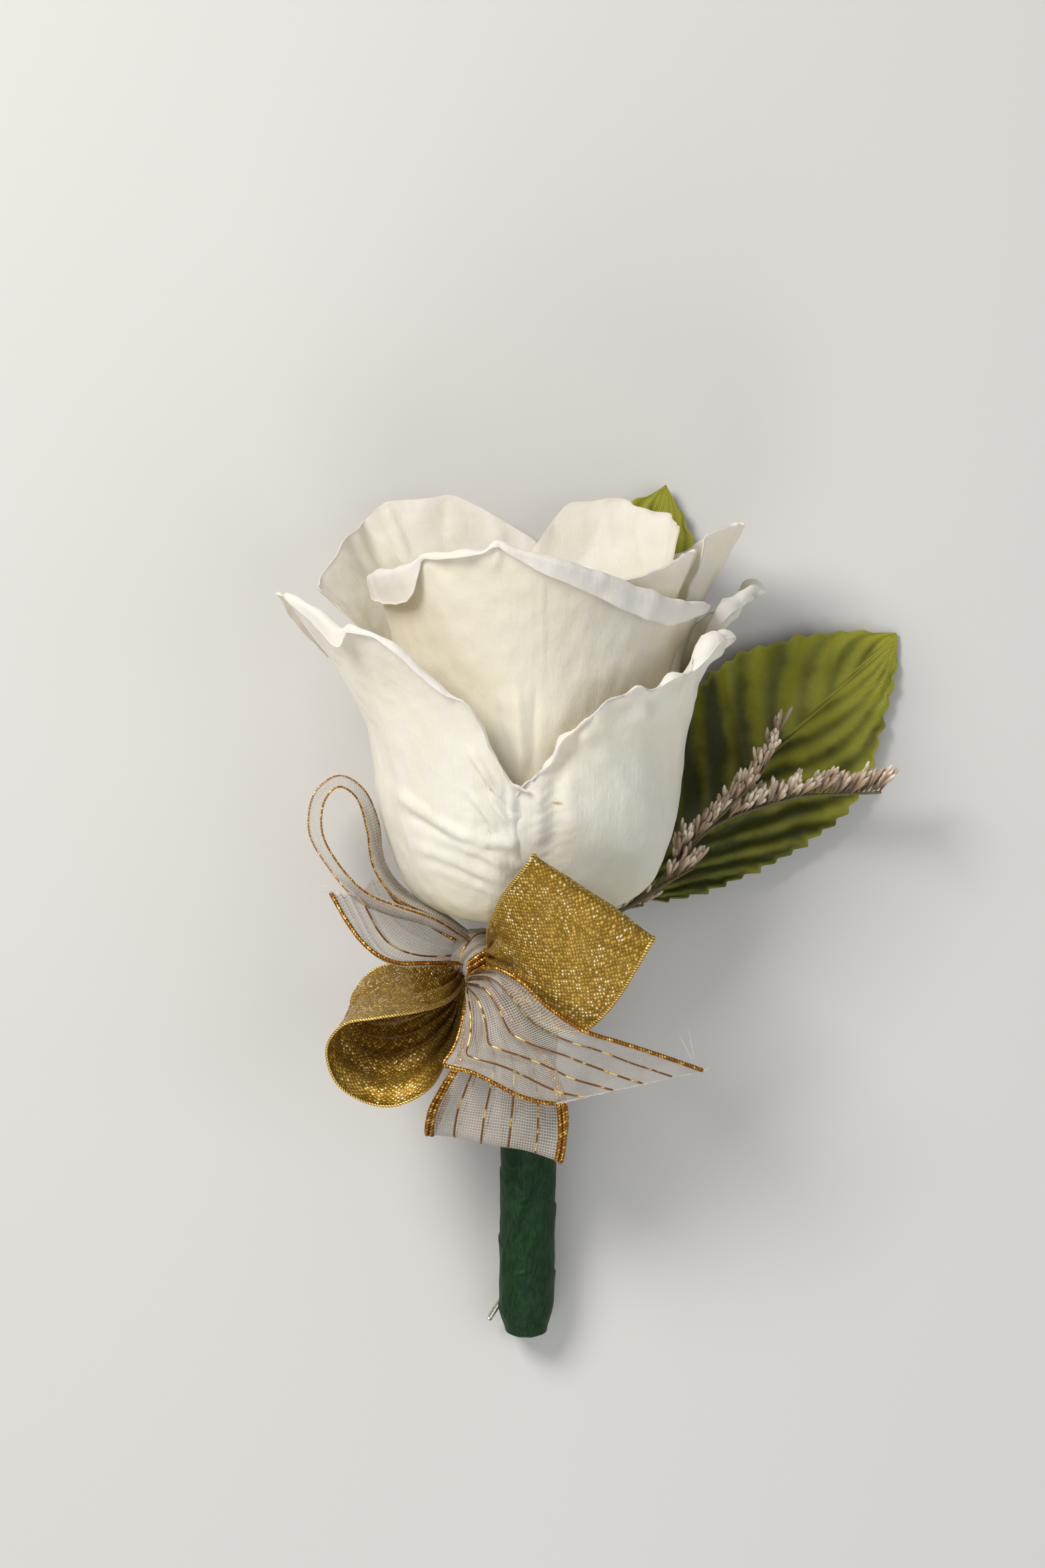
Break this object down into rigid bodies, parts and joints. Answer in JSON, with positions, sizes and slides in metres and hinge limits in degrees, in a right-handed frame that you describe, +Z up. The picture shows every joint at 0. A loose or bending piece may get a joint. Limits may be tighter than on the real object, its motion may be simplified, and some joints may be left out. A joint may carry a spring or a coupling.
{
  "type": "boutonniere",
  "caption": "Buttonhole flower: a white preserved rose on a taped stem, with satin leaves, a dried filler sprig and a bow of gold and sheer ribbon, lying face up.",
  "frame": {"origin": "middle of the bounding box in X and Y, on the surface that the boutonniere lies on", "axes": "+Y from the stem's cut end towards the petals' tips, +X to the right as seen from the front, +Z up from the surface, out of the face of the bloom"},
  "size_m": [0.0978, 0.1356, 0.0558],
  "materials": {
    "rose_petal": "ivory preserved rose petal, matt and soft, a little yellow towards the foot",
    "rose_stem": "cut green rose stem with its hip",
    "floral_tape": "dark green waxed crepe floral tape, wound and stretched, satin",
    "stub_wire": "cut florist's wire",
    "leaf_satin": "olive green woven satin, pressed with veins",
    "leaf_stalk": "moulded green midrib and stalk",
    "filler_sprig": "dried beige sprig with pale tipped buds",
    "gold_lame": "gold lame with fine round sparkles and a thick selvage",
    "sheer_organza": "sheer organza with gold twisted selvages and gold lengthwise stripes"
  },
  "bodies": {
    "root": {"rose_bloom": "rose_petal", "rose_stem": "rose_stem", "stem_tape": "floral_tape", "stub_wire": "stub_wire", "leaf_right_blade": "leaf_satin", "leaf_right_stalk": "leaf_stalk", "leaf_top_blade": "leaf_satin", "leaf_top_stalk": "leaf_stalk", "filler_sprig": "filler_sprig", "gold_ribbon": "gold_lame", "sheer_ribbon": "sheer_organza"}
  },
  "joints": []
}
